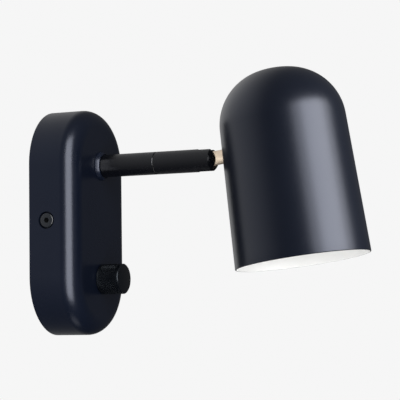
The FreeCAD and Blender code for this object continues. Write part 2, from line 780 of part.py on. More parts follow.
def dimmer_knob():
    """Fluted knob with a plain band, a chamfered front and a recess over the nut."""
    front = -knob_front_from_wall
    back = cover_front - knob_gap
    body = rod(knob_radius, back, front, 0, knob_z)
    body = body.makeChamfer(knob_chamfer, edges_at(body, lambda point: near(point.y, front)))
    flute_start = front + knob_front_band
    for flute in range(knob_flutes):
        angle = 2 * math.pi * flute / knob_flutes
        x = knob_radius * math.cos(angle)
        z = knob_z + knob_radius * math.sin(angle)
        body = body.cut(rod(knob_flute_depth, flute_start, back, x, z))
    body = body.cut(rod(knob_recess_radius, back, back - knob_recess_depth, 0, knob_z))
    bore_end = front + knob_shaft_stop
    bore = rod(shaft_radius + fit, back, bore_end, 0, knob_z)
    flat_z = knob_z + shaft_radius - shaft_flat + fit
    key = block((-knob_radius, knob_radius), (bore_end, back - knob_recess_depth), (flat_z, knob_z + knob_radius))
    body = body.cut(bore.cut(key))
    grub_y = grub_centre()
    return body.cut(rod_z(knob_grub_radius + fit, knob_z, knob_z + knob_radius + 1, 0, grub_y))


def grub_centre():
    back = cover_front - knob_gap - knob_recess_depth
    return (back - knob_front_from_wall + knob_shaft_stop) / 2


def knob_grub_screw():
    """Headless screw against the shaft's flat."""
    seat = knob_z + shaft_radius - shaft_flat
    top = knob_z + knob_radius - knob_flute_depth - 0.8
    screw = rod_z(knob_grub_radius, seat, top, 0, grub_centre())
    key = hexagon(0.86, -1.2, 0)
    key = turned_about(key, X_AXIS, 90, V(0, 0, 0))
    key.translate(V(0, grub_centre(), top))
    return screw.cut(key)


# ---------------------------------------------------------------- terminal block and leads
def pole_xs():
    return [(pole - (block_poles - 1) / 2) * pole_pitch for pole in range(block_poles)]


def terminal_block():
    """Three-pole block: a base with a raised barrel for each pole."""
    half = block_height / 2
    z = -block_below_middle
    base_depth = block_depth * 0.45
    half_length = block_half_length()
    body = block((-half_length, half_length), (-bracket_sheet - base_depth, -bracket_sheet), (z - half, z + half))
    top = -bracket_sheet - block_depth
    for x in pole_xs():
        wide = pole_pitch * 0.4
        barrel = block((x - wide, x + wide), (top, -bracket_sheet - base_depth), (z - half + 1, z + half - 1))
        crown = edges_at(barrel, lambda point: near(point.y, top) and near(abs(point.x - x), wide))
        body = body.fuse(barrel.makeFillet(1.5, crown))
    for x in pole_xs():
        wire_y = -bracket_sheet - base_depth - 1.0
        body = body.cut(rod_z(block_wire_radius, z - half, z + half, x, wire_y))
        for end in (-1, 1):
            well_z = z + end * block_screw_spread / 2
            body = body.cut(rod(block_screw_well, top, wire_y, x, well_z))
    for x in lug_xs():
        body = body.cut(rod(m3_radius + fit, top, -bracket_sheet, x, z))
    return body.removeSplitter()


def block_half_length():
    return block_poles * pole_pitch / 2 + block_lug


def lug_xs():
    reach = block_half_length() - block_lug_inset
    return [-reach, reach]


def m3_pan_screw(x, z, seat):
    """Slotted screw standing out from the bracket, its head on the plane Y = seat."""
    shank = rod(m3_radius, -0.2, seat, x, z)
    head = rod(m3_head_radius, seat, seat - m3_head_height, x, z)
    head = head.makeFillet(0.6, edges_at(head, lambda point: near(point.y, seat - m3_head_height)))
    slot = block((x - m3_head_radius, x + m3_head_radius), (seat - m3_head_height, seat - m3_head_height + 0.8),
                 (z - 0.35, z + 0.35))
    return shank.fuse(head).cut(slot)


def block_screws():
    seat = -bracket_sheet - block_depth * 0.45
    return [m3_pan_screw(x, -block_below_middle, seat) for x in lug_xs()]


def earth_screw():
    return m3_pan_screw(earth_screw_out, -earth_screw_below, -bracket_sheet - earth_tag_thick)


def earth_tag():
    """Ring tag under the earth screw, its crimped barrel pointing down."""
    front = -bracket_sheet - earth_tag_thick
    x, z = earth_screw_out, -earth_screw_below
    eye = rod(earth_tag_width / 2, -bracket_sheet, front, x, z)
    low = z - earth_tag_reach - earth_barrel_length
    neck = block((x - 1.5, x + 1.5), (front, -bracket_sheet), (low, z))
    barrel = rod_z(earth_barrel_radius, low, low + earth_barrel_length, x, earth_barrel_y())
    tag = eye.fuse(neck).fuse(barrel)
    tag = tag.cut(rod(m3_radius + fit, -bracket_sheet, front, x, z))
    return tag.cut(rod_z(core_radius + fit, low, low + earth_barrel_length, x, earth_barrel_y())).removeSplitter()


def earth_barrel_y():
    return -bracket_sheet - earth_tag_thick - earth_barrel_radius + 0.2


def wire_y():
    """Y of the cores in the terminal block."""
    return -bracket_sheet - block_depth * 0.45 - 1.0


def earth_lead():
    """From the last pole down in a loop and up into the tag's barrel."""
    x = pole_xs()[-1]
    start = -block_below_middle - block_height / 2 + core_grip
    low = start - core_grip - loop_depth
    end = -earth_screw_below - earth_tag_reach - earth_barrel_length / 2
    points = [V(x, wire_y(), start), V(x, wire_y(), low),
              V(earth_screw_out, earth_barrel_y(), low), V(earth_screw_out, earth_barrel_y(), end)]
    return lead(points, core_radius, 2.4)


def dimmer_leads():
    """Two cores from the block down into the top of the dimmer."""
    top = knob_z + dimmer_side / 2
    middle = cover_inside + dimmer_depth * 0.6
    start = -block_below_middle - block_height / 2 + core_grip
    turn = (start - core_grip + top) / 2
    leads = []
    for x in pole_xs()[:2]:
        points = [V(x, wire_y(), start), V(x, wire_y(), turn), V(x, middle, turn), V(x, middle, top)]
        leads.append(lead(points, core_radius, core_bend))
    return leads


def arm_leads():
    """Two cores from the block up and through the arm to the swivel."""
    start = -block_below_middle + block_height / 2 - core_grip
    tail = cover_inside + backing_thick + toothed_washer_thick + nipple_nut_thick + nipple_tail
    turn = tail + 2.5 * core_bend
    leads = []
    for x, side in zip(pole_xs()[1:], (-1, 1)):
        points = [V(x, wire_y(), start), V(x, wire_y(), inlet_above_middle - 3),
                  V(side * core_pair_half, turn, arm_above_middle),
                  V(side * core_pair_half, seam - spindle_journal_length, arm_above_middle)]
        leads.append(lead(points, core_radius, core_bend))
    return leads


def fork_leads():
    """The same two cores inside the fork, up to the slot."""
    start = seam - spindle_journal_length - 2 * seam_gap
    end = pivot.y + slot_root + seam_gap
    return [rod(core_radius, start, end, side * core_pair_half, arm_above_middle) for side in (-1, 1)]


def fine_pair_in_holder():
    """Half the distance between the fine cores where they enter the lampholder."""
    return fine_core_radius + 0.45


def head_leads():
    """Two fine cores past the pivot, through the stem and up over the shelf to the lampholder."""
    shelf = holder_rise
    past = pivot_radius + fine_core_radius + fine_core_play
    beside = holder_width / 2 + fine_beside
    leads = []
    for side in (-1, 1):
        route = [
            (0, fine_start, side * past),
            (0, -fine_turn, side * past),
            (0, -fine_stem, side * fine_pair_half),
            (0, -stem_bore_length() - fine_exit, side * fine_pair_half),
            (side * beside, fine_rise_out - shade_from_pivot, shelf * 0.5),
            (side * beside, fine_top_out - shade_from_pivot, shelf + fine_over_shelf),
            (side * fine_pair_in_holder(), -shade_from_pivot, shelf + fine_loop_top),
            (side * fine_pair_in_holder(), -shade_from_pivot, shelf - holder_sheet),
        ]
        points = [pivot + V(*step) for step in route]
        leads.append(at_rest_tilt(lead(points, fine_core_radius, fine_core_bend)))
    return leads


def terminal_screws():
    """Cheese-head clamping screws, two for each pole."""
    z = -block_below_middle
    base_depth = block_depth * 0.45
    floor = -bracket_sheet - base_depth - 1.0
    screws = []
    for x in pole_xs():
        for end in (-1, 1):
            well_z = z + end * block_screw_spread / 2
            start = floor - block_wire_radius + 0.5
            screw = rod(block_screw_radius, start, start - block_screw_length, x, well_z)
            slot = block((x - 2, x + 2), (start - block_screw_length, start - block_screw_length + 0.8),
                         (well_z - 0.3, well_z + 0.3))
            screws.append(screw.cut(slot))
    return screws


# ---------------------------------------------------------------- all pieces
PIECES = {
    "wall_bracket": wall_bracket,
    "press_nuts": press_nuts,
    "cable_grommet": cable_grommet,
    "cover": cover,
    "cover_screws": cover_screws,
    "arm_backing_plate": arm_backing_plate,
    "nipple_washer": nipple_washer,
    "nipple_nut": nipple_nut,
    "arm_nipple": arm_nipple,
    "arm_collar": arm_collar,
    "arm_tube": arm_tube,
    "swivel_spindle": swivel_spindle,
    "swivel_washer": swivel_washer,
    "swivel_fork": swivel_fork,
    "swivel_grub_screw": swivel_grub_screw,
    "pivot_screw": pivot_screw,
    "tilt_washers": tilt_washers,
    "tilt_tongue": tilt_tongue,
    "shade": shade,
    "shade_saddle": shade_saddle,
    "shade_nut": shade_nut,
    "holder_bracket": holder_bracket,
    "lampholder": lampholder,
    "holder_screws": holder_screws,
    "lamp": lamp,
    "dimmer_housing": dimmer_housing,
    "dimmer_washer": dimmer_washer,
    "dimmer_nut": dimmer_nut,
    "dimmer_shaft": dimmer_shaft,
    "dimmer_knob": dimmer_knob,
    "knob_grub_screw": knob_grub_screw,
    "terminal_block": terminal_block,
    "terminal_screws": terminal_screws,
    "block_screws": block_screws,
    "earth_screw": earth_screw,
    "earth_tag": earth_tag,
    "earth_lead": earth_lead,
    "dimmer_leads": dimmer_leads,
    "arm_leads": arm_leads,
    "fork_leads": fork_leads,
    "head_leads": head_leads,
}


def main():
    os.makedirs("parts", exist_ok=True)
    for name, build in PIECES.items():
        shape = build()
        if isinstance(shape, list):
            shape = Part.makeCompound(shape)
        if shape.ShapeType == "Compound" and len(shape.Solids) == 1:
            shape = shape.Solids[0]
        shape.exportStep("parts/" + name + ".step")
        box = shape.BoundBox
        print(f"{name:20s} solids {len(shape.Solids)} volume {shape.Volume:10.1f} valid {shape.isValid()}"
              f"  x {box.XMin:.1f}..{box.XMax:.1f} y {box.YMin:.1f}..{box.YMax:.1f} z {box.ZMin:.1f}..{box.ZMax:.1f}")


main()
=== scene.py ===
import json
import math

import bmesh
import bpy
from mathutils import Matrix, Vector


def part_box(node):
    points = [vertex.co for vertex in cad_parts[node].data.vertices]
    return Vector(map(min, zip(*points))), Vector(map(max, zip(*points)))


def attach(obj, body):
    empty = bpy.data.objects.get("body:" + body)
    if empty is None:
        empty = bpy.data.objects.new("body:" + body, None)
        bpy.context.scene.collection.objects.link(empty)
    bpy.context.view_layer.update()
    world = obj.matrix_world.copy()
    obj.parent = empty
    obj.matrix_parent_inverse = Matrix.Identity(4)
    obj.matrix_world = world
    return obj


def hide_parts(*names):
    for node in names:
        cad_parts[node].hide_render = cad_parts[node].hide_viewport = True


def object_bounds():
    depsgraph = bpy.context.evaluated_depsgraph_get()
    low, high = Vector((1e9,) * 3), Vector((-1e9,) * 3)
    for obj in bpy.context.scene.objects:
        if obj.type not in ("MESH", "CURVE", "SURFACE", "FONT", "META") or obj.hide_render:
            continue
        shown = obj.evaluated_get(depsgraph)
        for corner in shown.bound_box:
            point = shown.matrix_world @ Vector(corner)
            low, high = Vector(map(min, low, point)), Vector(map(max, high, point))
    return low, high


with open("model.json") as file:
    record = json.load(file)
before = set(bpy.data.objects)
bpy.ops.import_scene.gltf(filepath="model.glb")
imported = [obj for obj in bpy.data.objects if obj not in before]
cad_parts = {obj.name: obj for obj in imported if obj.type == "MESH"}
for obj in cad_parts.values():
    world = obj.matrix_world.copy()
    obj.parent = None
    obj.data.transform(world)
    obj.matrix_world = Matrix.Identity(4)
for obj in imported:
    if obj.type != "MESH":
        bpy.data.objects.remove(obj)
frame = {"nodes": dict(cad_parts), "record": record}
cad_low, cad_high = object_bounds()
nodes = frame["nodes"]
scene = bpy.context.scene
MM = 0.001

# ---------------------------------------------------------------- sizes of the modelled pieces, in metres
PIVOT = Vector((0, -109.6, 37.2)) * MM   # of the shade's tilt
REST_TILT = math.radians(7.8)            # the shade's mouth is turned away from the wall

SHADE_FROM_PIVOT = 56.4 * MM
STEM_ABOVE_RIM = 75.5 * MM
RIM_RADIUS = 43.25 * MM
SHOULDER_RADIUS = 40.38 * MM
STRAIGHT_HEIGHT = 89.5 * MM
SHOULDER_ROUND = 35.4 * MM
DOME_RISE = 34.8 * MM
SHADE_WALL = 1.0 * MM
LIP_ROUND = 0.45 * MM
PAINTED_LIP = 0.06 * MM                  # how far up the lip's inner half the outside colour reaches
SHADE_STEPS = 192                        # mesh steps round the shade
SHADE_SIDE_STEPS = 12                    # and along its straight wall, shoulder and crown
SHOULDER_STEPS = 26
CROWN_STEPS = 14
LIP_STEPS = 5                            # of each half of the rounded lip

KNOB_RADIUS = 10.0 * MM
KNOB_CHAMFER = 0.5 * MM
KNOB_EDGE_IN = 0.25 * MM                 # the soft edges before and after the chamfer
KNOB_EDGE_BACK = 0.06 * MM
KNOB_EDGE_SIDE = 0.05 * MM
KNOB_FRONT_BAND = 0.9 * MM
BAND_EDGE = 0.08 * MM
BAND_BEVEL = 0.12 * MM
KNURL_AROUND = 44
KNURL_ROWS = 10
KNURL_DEPTH = 0.42 * MM
KNURL_CREST = 0.6                        # share of a diamond's rise where its top is cut flat
KNURL_CUTS = 8                           # mesh steps across one diamond
KNURL_END_HEIGHT = 0.2                   # share of the full depth at the ends of the knurl
KNURL_END_FADE = 4                       # how fast the depth grows from there
KNOB_RECESS_RADIUS = 7.2 * MM
KNOB_RECESS_DEPTH = 5.4 * MM
SHAFT_HOLE_RADIUS = 3.05 * MM
KNOB_FACE_THICK = 2.2 * MM
TURNED_STEPS = 128                       # round the knob and the collar

COLLAR_BACK_RADIUS = 9.7 * MM
COLLAR_FRONT_RADIUS = 8.75 * MM
COLLAR_EDGE = 0.25 * MM
COLLAR_BORE = 5.1 * MM
GROOVE_OUTER = 8.3 * MM                  # the shadow gap round the arm
GROOVE_INNER = 7.3 * MM
GROOVE_DEPTH = 0.9 * MM

HEAD_RADIUS = 4.75 * MM                  # of the cover screws
HEAD_ROUND = 0.6 * MM
HEAD_HEIGHT = 2.6 * MM
HEAD_ROUND_STEPS = 6
HEAD_STEPS = 96                          # round the head, a multiple of the socket's six sides
SOCKET_SIDES = 6
SOCKET_CORNER = 1.9 * MM
SOCKET_DEPTH = 2.0 * MM
SHANK_RADIUS = 2.5 * MM
SHANK_LENGTH = 9.0 * MM

SHARP_ANGLE = 35                         # degrees, over which an edge of a turned piece is crisp
BROKEN_ANGLE = 15                        # degrees, over which an edge of the collar is broken
WELD = 1e-6                              # metres, under which two points are one


# ---------------------------------------------------------------- shader helpers
COLOUR_A, COLOUR_B = 6, 7                # the colour sockets of a Mix node, by their place
COLOUR_MIXED = 2


def new_material(name):
    """An empty material with its Principled shader, and the two side by side."""
    material = bpy.data.materials.new(name)
    material.use_nodes = True
    return material, material.node_tree, material.node_tree.nodes["Principled BSDF"]


def add(tree, kind, **inputs):
    """A node with its input values set by name, spaces written as underscores."""
    node = tree.nodes.new(kind)
    for name, value in inputs.items():
        node.inputs[name.replace("_", " ")].default_value = value
    return node


def math_node(tree, operation, first, second):
    """Result of a Math node on two values, each a number or another node's output."""
    node = tree.nodes.new("ShaderNodeMath")
    node.operation = operation
    for socket, value in zip(node.inputs, (first, second)):
        if isinstance(value, (int, float)):
            socket.default_value = value
        else:
            tree.links.new(value, socket)
    return node.outputs[0]


def spread(tree, value, low, high):
    """Value from 0 to 1, mapped to low to high."""
    node = add(tree, "ShaderNodeMapRange", To_Min=low, To_Max=high)
    tree.links.new(value, node.inputs["Value"])
    return node.outputs["Result"]


def tint(tree, mask, first, second):
    """Mix of two colours by a mask."""
    node = tree.nodes.new("ShaderNodeMix")
    node.data_type = "RGBA"
    tree.links.new(mask, node.inputs["Factor"])
    node.inputs[COLOUR_A].default_value = (*first, 1)
    node.inputs[COLOUR_B].default_value = (*second, 1)
    return node.outputs[COLOUR_MIXED]


def new_group(name, inputs, outputs):
    """A shader node group with named sockets, and its two ends."""
    group = bpy.data.node_groups.new(name, "ShaderNodeTree")
    for label, value in inputs.items():
        socket = group.interface.new_socket(label, in_out="INPUT", socket_type="NodeSocketFloat")
        socket.default_value = value
    for label, kind in outputs.items():
        group.interface.new_socket(label, in_out="OUTPUT", socket_type=kind)
    return group, group.nodes.new("NodeGroupInput"), group.nodes.new("NodeGroupOutput")


def use_group(tree, group, **values):
    """A node group placed in a material, with its input values set by name."""
    node = tree.nodes.new("ShaderNodeGroup")
    node.node_tree = group
    for name, value in values.items():
        node.inputs[name.replace("_", " ")].default_value = value
    return node


def build_powder_coat():
    """Fine orange peel and a faint cloudiness, as on a sprayed and baked coat."""
    group, given, made = new_group(
        "powder_coat",
        {"Peel per metre": 900, "Peel height": 0.000012, "Cloud per metre": 30},
        {"Normal": "NodeSocketVector", "Cloud": "NodeSocketFloat"},
    )
    links = group.links
    place = group.nodes.new("ShaderNodeTexCoord").outputs["Object"]
    peel = add(group, "ShaderNodeTexNoise", Detail=2.0, Roughness=0.55)
    cloud = add(group, "ShaderNodeTexNoise", Detail=3.0, Roughness=0.6)
    links.new(place, peel.inputs["Vector"])
    links.new(place, cloud.inputs["Vector"])
    links.new(given.outputs["Peel per metre"], peel.inputs["Scale"])
    links.new(given.outputs["Cloud per metre"], cloud.inputs["Scale"])
    bump = add(group, "ShaderNodeBump", Strength=1.0)
    links.new(given.outputs["Peel height"], bump.inputs["Distance"])
    links.new(peel.outputs["Fac"], bump.inputs["Height"])
    links.new(bump.outputs["Normal"], made.inputs["Normal"])
    links.new(cloud.outputs["Fac"], made.inputs["Cloud"])
    return group


def build_turned_lines():
    """Fine tool lines round the Y axis, for pieces turned on a lathe along the arm."""
    group, given, made = new_group(
        "turned_lines",
        {"Lines per metre": 6000, "Line depth": 0.000004},
        {"Normal": "NodeSocketVector", "Lines": "NodeSocketFloat"},
    )
    links = group.links
    place = group.nodes.new("ShaderNodeTexCoord").outputs["Object"]
    along = group.nodes.new("ShaderNodeSeparateXYZ")
    links.new(place, along.inputs["Vector"])
    lines = add(group, "ShaderNodeTexNoise", Detail=3.0, Roughness=0.7)
    lines.noise_dimensions = "1D"
    links.new(along.outputs["Y"], lines.inputs["W"])
    links.new(given.outputs["Lines per metre"], lines.inputs["Scale"])
    bump = add(group, "ShaderNodeBump", Strength=1.0)
    links.new(given.outputs["Line depth"], bump.inputs["Distance"])
    links.new(lines.outputs["Fac"], bump.inputs["Height"])
    links.new(bump.outputs["Normal"], made.inputs["Normal"])
    links.new(lines.outputs["Fac"], made.inputs["Lines"])
    return group


def build_grain():
    """Mottled fine grain, for plating, moulded and fired surfaces."""
    group, given, made = new_group(
        "surface_grain",
        {"Grain per metre": 1500, "Grain height": 0.00001, "Patch per metre": 120},
        {"Normal": "NodeSocketVector", "Grain": "NodeSocketFloat", "Patch": "NodeSocketFloat"},
    )
    links = group.links
    place = group.nodes.new("ShaderNodeTexCoord").outputs["Object"]
    grain = add(group, "ShaderNodeTexNoise", Detail=4.0, Roughness=0.65)
    patch = group.nodes.new("ShaderNodeTexVoronoi")
    patch.feature = "SMOOTH_F1"
    links.new(place, grain.inputs["Vector"])
    links.new(place, patch.inputs["Vector"])
    links.new(given.outputs["Grain per metre"], grain.inputs["Scale"])
    links.new(given.outputs["Patch per metre"], patch.inputs["Scale"])
    bump = add(group, "ShaderNodeBump", Strength=1.0)
    links.new(given.outputs["Grain height"], bump.inputs["Distance"])
    links.new(grain.outputs["Fac"], bump.inputs["Height"])
    links.new(bump.outputs["Normal"], made.inputs["Normal"])
    links.new(grain.outputs["Fac"], made.inputs["Grain"])
    links.new(patch.outputs["Distance"], made.inputs["Patch"])
    return group


POWDER_COAT = build_powder_coat()
TURNED_LINES = build_turned_lines()
GRAIN = build_grain()


# ---------------------------------------------------------------- materials
COAT_SPREAD = 0.03                       # how far the roughness wanders either way
TURNED_SPREAD = 0.06
GRAIN_SPREAD = 0.08
COAT_PEEL = 0.012 * MM
SMOOTH_PEEL = 0.01 * MM
TURNED_DEPTH = 0.003 * MM
CAST_GRAIN = 0.01 * MM
FINE_GRAIN = 0.004 * MM
PLATED_GRAIN = 0.006 * MM
FIRED_GRAIN = 0.03 * MM


def sprayed_metal(name, dark, light, roughness, peel_height=COAT_PEEL, sheen_tint=(1.0, 1.0, 1.0), gloss=0.5):
    """Powder-coated sheet: two close colours in soft clouds, and orange peel."""
    material, tree, shader = new_material(name)
    coat = use_group(tree, POWDER_COAT, Peel_height=peel_height)
    tree.links.new(tint(tree, coat.outputs["Cloud"], dark, light), shader.inputs["Base Color"])
    rough = spread(tree, coat.outputs["Cloud"], roughness - COAT_SPREAD, roughness + COAT_SPREAD)
    tree.links.new(rough, shader.inputs["Roughness"])
    tree.links.new(coat.outputs["Normal"], shader.inputs["Normal"])
    shader.inputs["Specular Tint"].default_value = (*sheen_tint, 1)
    shader.inputs["Specular IOR Level"].default_value = gloss
    return material


def turned_metal(name, dark, light, roughness):
    """Bare metal with the lathe's fine lines."""
    material, tree, shader = new_material(name)
    marks = use_group(tree, TURNED_LINES, Line_depth=TURNED_DEPTH)
    tree.links.new(tint(tree, marks.outputs["Lines"], dark, light), shader.inputs["Base Color"])
    rough = spread(tree, marks.outputs["Lines"], roughness - TURNED_SPREAD, roughness + TURNED_SPREAD)
    tree.links.new(rough, shader.inputs["Roughness"])
    tree.links.new(marks.outputs["Normal"], shader.inputs["Normal"])
    shader.inputs["Metallic"].default_value = 1.0
    return material


def grained(name, dark, light, roughness, metallic=0.0, grain_height=CAST_GRAIN,
            patch=120.0, grain=1500.0, gloss=0.5):
    """Plating, moulded plastic, rubber or ceramic, by its colours and grain."""
    material, tree, shader = new_material(name)
    skin = use_group(tree, GRAIN, Grain_height=grain_height, Patch_per_metre=patch, Grain_per_metre=grain)
    tree.links.new(tint(tree, skin.outputs["Patch"], dark, light), shader.inputs["Base Color"])
    rough = spread(tree, skin.outputs["Grain"], roughness - GRAIN_SPREAD, roughness + GRAIN_SPREAD)
    tree.links.new(rough, shader.inputs["Roughness"])
    tree.links.new(skin.outputs["Normal"], shader.inputs["Normal"])
    shader.inputs["Metallic"].default_value = metallic
    shader.inputs["Specular IOR Level"].default_value = gloss
    return material


def opal_cover(name):
    """Frosted plastic of the lamp, with a little light scattered inside it."""
    material = grained(name, (0.80, 0.79, 0.75), (0.90, 0.89, 0.86), 0.42, grain_height=FINE_GRAIN)
    shader = material.node_tree.nodes["Principled BSDF"]
    shader.inputs["Subsurface Weight"].default_value = 0.3
    shader.inputs["Subsurface Radius"].default_value = (0.004, 0.004, 0.003)
    return material


BLUE_SHEEN = (0.81, 0.85, 1.0)           # tint of the satin navy coat's gloss
ARM_SHEEN = (0.93, 0.95, 1.0)
KNOB_SHEEN = (0.78, 0.88, 1.0)
FINISH = {
    "cover_paint": sprayed_metal(
        "cover_paint", (0.0015, 0.0024, 0.0056), (0.0020, 0.0031, 0.0068), 0.28,
        sheen_tint=BLUE_SHEEN, gloss=0.36),
    "arm_paint": sprayed_metal(
        "arm_paint", (0.0020, 0.0023, 0.0036), (0.0026, 0.0029, 0.0046), 0.27,
        sheen_tint=ARM_SHEEN, gloss=0.62),
    "shade_paint": sprayed_metal(
        "shade_paint", (0.0028, 0.0042, 0.0088), (0.0034, 0.0050, 0.0104), 0.30,
        sheen_tint=BLUE_SHEEN),
    "knob_finish": sprayed_metal(
        "knob_finish", (0.0004, 0.0008, 0.0018), (0.0007, 0.0011, 0.0023), 0.28,
        peel_height=FINE_GRAIN, sheen_tint=KNOB_SHEEN, gloss=0.42),
    "black_steel": grained("black_steel", (0.0034, 0.0042, 0.0056), (0.0046, 0.0054, 0.0070), 0.24),
    "brass": turned_metal("brass", (0.95, 0.77, 0.58), (0.98, 0.84, 0.68), 0.42),
    "zinc_steel": grained(
        "zinc_steel", (0.52, 0.53, 0.54), (0.64, 0.65, 0.66), 0.34,
        metallic=1.0, grain_height=PLATED_GRAIN, patch=260.0),
    "white_steel": sprayed_metal("white_steel", (0.80, 0.80, 0.78), (0.84, 0.84, 0.82), 0.5),
    "grommet_rubber": grained("grommet_rubber", (0.018, 0.018, 0.018), (0.030, 0.030, 0.030), 0.7),
    "polyamide": grained("polyamide", (0.66, 0.66, 0.61), (0.74, 0.74, 0.69), 0.48),
    "dimmer_case": grained("dimmer_case", (0.030, 0.030, 0.032), (0.042, 0.042, 0.045), 0.5),
    "steatite": grained(
        "steatite", (0.76, 0.74, 0.69), (0.84, 0.83, 0.78), 0.62,
        grain_height=FIRED_GRAIN, patch=400.0, grain=2500.0),
    "lamp_cover": opal_cover("lamp_cover"),
    "core_insulation": grained(
        "core_insulation", (0.20, 0.105, 0.055), (0.25, 0.135, 0.07), 0.4, grain_height=FINE_GRAIN),
    "fine_insulation": grained(
        "fine_insulation", (0.72, 0.72, 0.69), (0.80, 0.80, 0.77), 0.4, grain_height=FINE_GRAIN),
    "earth_insulation": grained(
        "earth_insulation", (0.16, 0.36, 0.04), (0.30, 0.46, 0.05), 0.4, grain_height=FINE_GRAIN),
    "friction_plastic": grained("friction_plastic", (0.05, 0.05, 0.05), (0.07, 0.07, 0.07), 0.45),
}
SHADE_INSIDE = sprayed_metal(
    "shade_inside_white", (0.86, 0.86, 0.85), (0.88, 0.88, 0.87), 0.55, peel_height=SMOOTH_PEEL)
# near-black matt finish for the inside of the screws' hex sockets: painted shade that darkens the recess
# where the lamps would reach
SOCKET_PAINTED_SHADE = grained(
    "socket_painted_shade", (0.0006, 0.0007, 0.0009), (0.0009, 0.0010, 0.0013), 0.85, gloss=0.05)

for part in frame["record"]["subparts"]:
    node = nodes[part["node"]]
    for holder in node.material_slots:
        holder.link = "OBJECT"
        holder.material = FINISH[part["material_slot"]]


# ---------------------------------------------------------------- mesh helpers
def piece_from(mesh_work, name, body, materials, replaced):
    """Turn finished mesh work into a piece that rides on a body and stands for its node."""
    bmesh.ops.remove_doubles(mesh_work, verts=mesh_work.verts[:], dist=WELD)
    bmesh.ops.recalc_face_normals(mesh_work, faces=mesh_work.faces[:])
    mesh = bpy.data.meshes.new(name)
    mesh_work.to_mesh(mesh)
    mesh_work.free()
    piece = bpy.data.objects.new(name, mesh)
    scene.collection.objects.link(piece)
    for material in materials:
        mesh.materials.append(material)
    for face in mesh.polygons:
        face.use_smooth = True
    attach(piece, body)
    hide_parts(replaced)
    return piece


def sharp_over(mesh_work, degrees):
    """Mark the edges where the surface turns by more than an angle."""
    limit = math.radians(degrees)
    for edge in mesh_work.edges:
        if len(edge.link_faces) == 2 and edge.calc_face_angle() > limit:
            edge.smooth = False


def spun(mesh_work, outline, steps, centre, axis):
    """Full turn of an outline, given as points in the plane of the axis."""
    verts = [mesh_work.verts.new(point) for point in outline]
    edges = [mesh_work.edges.new(pair) for pair in zip(verts, verts[1:])]
    bmesh.ops.spin(mesh_work, geom=verts + edges, cent=centre, axis=axis,
                   angle=2 * math.pi, steps=steps, use_merge=True)


def arc(centre, radius, start, end, count):
    """Points of an arc in the XZ plane, angles in radians from +X, the first left out."""
    return [centre + radius * Vector((math.cos(a), 0, math.sin(a)))
            for a in (start + (end - start) * i / count for i in range(1, count + 1))]


# ---------------------------------------------------------------- shade
def shade_side(inset):
    """Rim, shoulder and crown line of the shade's outer surface, moved in by inset."""
    slope = math.atan2(RIM_RADIUS - SHOULDER_RADIUS, STRAIGHT_HEIGHT)
    lean = Vector((math.cos(slope), 0, math.sin(slope)))
    rim = Vector((RIM_RADIUS, 0, 0)) - lean * inset
    shoulder = Vector((SHOULDER_RADIUS, 0, STRAIGHT_HEIGHT))
    shoulder_centre = shoulder - lean * SHOULDER_ROUND
    crown_height = STRAIGHT_HEIGHT + DOME_RISE
    drop = crown_height - SHOULDER_ROUND
    across, rise = shoulder_centre.x, shoulder_centre.z
    crown_centre = Vector((0, 0, (across ** 2 + rise ** 2 - drop ** 2) / (2 * (rise - drop))))
    way = (shoulder_centre - crown_centre).normalized()
    turn = math.atan2(way.z, way.x)
    points = [rim.lerp(shoulder - lean * inset, i / SHADE_SIDE_STEPS) for i in range(SHADE_SIDE_STEPS + 1)]
    points += arc(shoulder_centre, SHOULDER_ROUND - inset, slope, turn, SHOULDER_STEPS)
    points += arc(crown_centre, crown_height - crown_centre.z - inset, turn, math.pi / 2, CROWN_STEPS)
    points[-1].x = 0
    return points, lean


def place_in_head(mesh_work):
    """From upright with the rim's centre at the origin, to the shade's place at rest."""
    rim_centre = PIVOT - Vector((0, SHADE_FROM_PIVOT, STEM_ABOVE_RIM))
    tilt = Matrix.Rotation(-REST_TILT, 4, "X")
    place = Matrix.Translation(PIVOT) @ tilt @ Matrix.Translation(rim_centre - PIVOT)
    bmesh.ops.transform(mesh_work, matrix=place, verts=mesh_work.verts[:])


def make_shade():
    """Spun steel shade: painted outside, white inside, the rounded lip half and half."""
    outside, lean = shade_side(0.0)
    inside, lean = shade_side(SHADE_WALL)
    up = (outside[1] - outside[0]).normalized()
    outer_lip = outside[0] - lean * LIP_ROUND + up * LIP_ROUND
    inner_lip = inside[0] + lean * LIP_ROUND + up * LIP_ROUND
    lean_angle = math.atan2(lean.z, lean.x)
    quarter = [-math.pi / 2 * i / LIP_STEPS for i in range(LIP_STEPS + 1)]
    lip_out = [outer_lip + LIP_ROUND * Vector((math.cos(a), 0, math.sin(a)))
               for a in (lean_angle + turn for turn in quarter)]
    lip_in = [inner_lip + LIP_ROUND * Vector((math.cos(a), 0, math.sin(a)))
              for a in (lean_angle - math.pi / 2 + turn for turn in quarter)]
    outline = list(reversed(outside[1:])) + lip_out + lip_in + inside[1:]
    work = bmesh.new()
    spun(work, outline, SHADE_STEPS, (0, 0, 0), (0, 0, 1))
    bmesh.ops.remove_doubles(work, verts=work.verts[:], dist=WELD)
    core = shade_side(SHADE_WALL / 2)[0]
    for face in work.faces:
        centre = face.calc_center_median()
        face.material_index = 1 if centre.z > PAINTED_LIP and inside_wall(centre, core) else 0
    place_in_head(work)
    return piece_from(work, "shade_shell", "lamp_head",
                      [FINISH["shade_paint"], SHADE_INSIDE], "shade")


def inside_wall(point, core):
    """True where a point is nearer the axis than the middle of the shade's wall."""
    radius = math.hypot(point.x, point.y)
    for low, high in zip(core, core[1:]):
        if low.z <= point.z <= high.z:
            share = (point.z - low.z) / (high.z - low.z)
            return radius < low.x + (high.x - low.x) * share
    return point.z < core[-1].z and (point.z > core[0].z or radius < core[0].x)


# ---------------------------------------------------------------- knob
def triangle_wave(value):
    """0 at whole numbers, 1 half way between."""
    return 1 - abs(2 * (value % 1) - 1)


